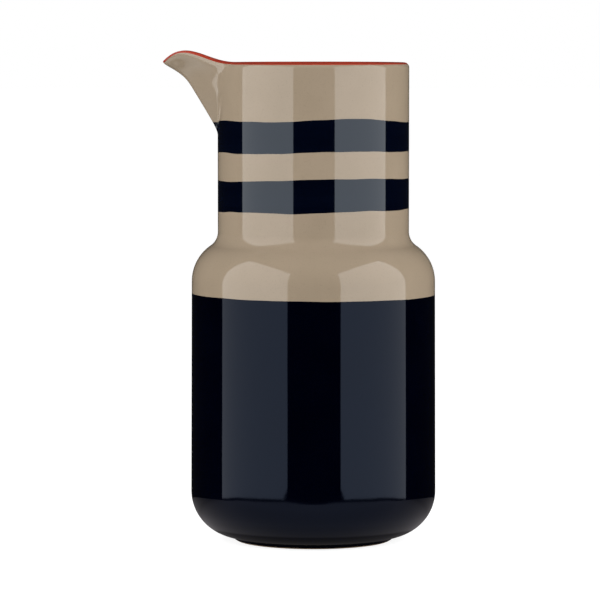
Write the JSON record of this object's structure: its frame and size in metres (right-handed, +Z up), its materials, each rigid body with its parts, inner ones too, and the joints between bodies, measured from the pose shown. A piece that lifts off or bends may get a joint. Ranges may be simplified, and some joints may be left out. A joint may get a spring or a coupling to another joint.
{
  "type": "ceramic carafe",
  "caption": "Wide-necked glazed stoneware carafe with a beak spout, navy base, two navy neck stripes on sand and a red rim line, for pouring water or wine at table.",
  "frame": {"origin": "on the table, under the middle of the carafe's footprint box, spout included", "axes": "+Z up along the turning axis, spout towards -X, +Y to the side"},
  "size_m": [0.112, 0.1006, 0.2015],
  "materials": {
    "clay": "bare fired stoneware, matt and finely speckled",
    "navy_base": "glossy, nearly black navy",
    "navy_band": "glossy navy, brushed on",
    "sand_glaze": "glossy warm sand grey",
    "red_line": "satin iron red, brushed on"
  },
  "bodies": {
    "root": {"clay_body": "clay", "clay_spout": "clay", "underside_glaze": "navy_base", "navy_base_glaze": "navy_base", "sand_shoulder_glaze": "sand_glaze", "lower_navy_band": "navy_band", "sand_middle_glaze": "sand_glaze", "upper_navy_band": "navy_band", "sand_neck_glaze": "sand_glaze", "red_rim_line": "red_line", "inside_glaze": "sand_glaze"}
  },
  "joints": []
}
